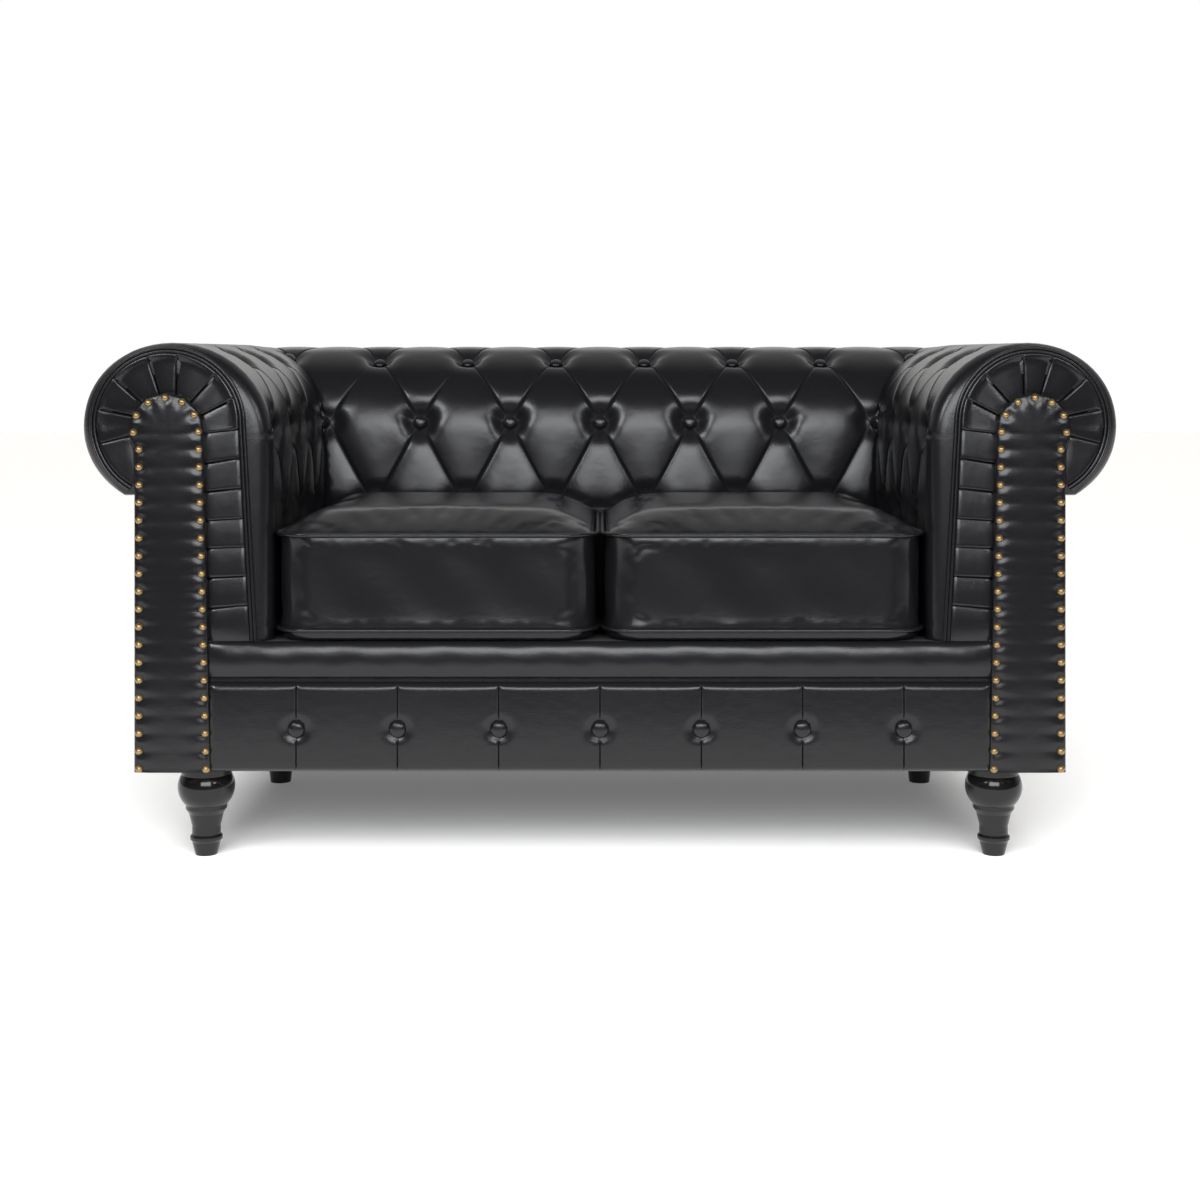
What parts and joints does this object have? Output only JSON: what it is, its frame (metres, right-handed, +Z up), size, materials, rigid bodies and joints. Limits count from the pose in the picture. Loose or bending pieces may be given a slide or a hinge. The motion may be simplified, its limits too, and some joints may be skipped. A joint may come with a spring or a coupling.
{
  "type": "chesterfield sofa",
  "caption": "Two-seat chesterfield sofa with deep buttoned scroll arms and back, nailed arm fronts, loose seat cushions and turned feet.",
  "frame": {"origin": "on the floor, under the middle of the outline seen from above", "axes": "+Z up, the seat's front faces -Y, +X to the sitter's left seen from the front as the picture's right"},
  "size_m": [1.4592, 0.7832, 0.7477],
  "materials": {
    "leather_black": "satin",
    "nail_brass": "polished",
    "foot_black": "gloss",
    "timber": "matte",
    "foam": "matte",
    "deck_fabric": "matte",
    "dust_fabric": "matte",
    "steel": "satin"
  },
  "bodies": {
    "frame": {"apron_buttons": "leather_black", "arm_joining_bolts": "steel", "back_bent_board": "timber", "back_buttons": "leather_black", "back_ribs": "timber", "back_top_rail": "timber", "back_tufted_pad": "leather_black", "centre_seat_rail": "timber", "dust_cover": "dust_fabric", "foot_blocks": "timber", "foot_bolts": "steel", "foot_plates": "steel", "front_apron": "leather_black", "front_seat_rail": "timber", "left_arm_bent_board": "timber", "left_arm_buttons": "leather_black", "left_arm_facing": "leather_black", "left_arm_front_board": "timber", "left_arm_front_panel": "leather_black", "left_arm_nails": "nail_brass", "left_arm_ribs": "timber", "left_arm_top_rail": "timber", "left_arm_tufted_pad": "leather_black", "left_base_rail": "timber", "left_facing_piping": "leather_black", "left_front_foot": "foot_black", "left_outside_arm_panel": "leather_black", "left_rear_foot": "foot_black", "left_seat_side_rail": "timber", "outside_back_panel": "leather_black", "rear_base_rail": "timber", "rear_seat_rail": "timber", "right_arm_bent_board": "timber", "right_arm_buttons": "leather_black", "right_arm_facing": "leather_black", "right_arm_front_board": "timber", "right_arm_front_panel": "leather_black", "right_arm_nails": "nail_brass", "right_arm_ribs": "timber", "right_arm_top_rail": "timber", "right_arm_tufted_pad": "leather_black", "right_base_rail": "timber", "right_facing_piping": "leather_black", "right_front_foot": "foot_black", "right_outside_arm_panel": "leather_black", "right_rear_foot": "foot_black", "right_seat_side_rail": "timber", "seat_deck": "deck_fabric", "seat_front_roll": "leather_black", "seat_springs": "steel", "spring_clips": "steel"},
    "left_seat_cushion": {"left_cushion_cover": "leather_black", "left_cushion_core": "foam", "left_cushion_piping": "leather_black"},
    "right_seat_cushion": {"right_cushion_cover": "leather_black", "right_cushion_core": "foam", "right_cushion_piping": "leather_black"}
  },
  "joints": [
    {"name": "left_cushion_lift", "type": "slide", "parent": "frame", "child": "left_seat_cushion", "axis": [0, 0, 1], "range_m": [0, 0.3]},
    {"name": "right_cushion_lift", "type": "slide", "parent": "frame", "child": "right_seat_cushion", "axis": [0, 0, 1], "range_m": [0, 0.3]}
  ]
}
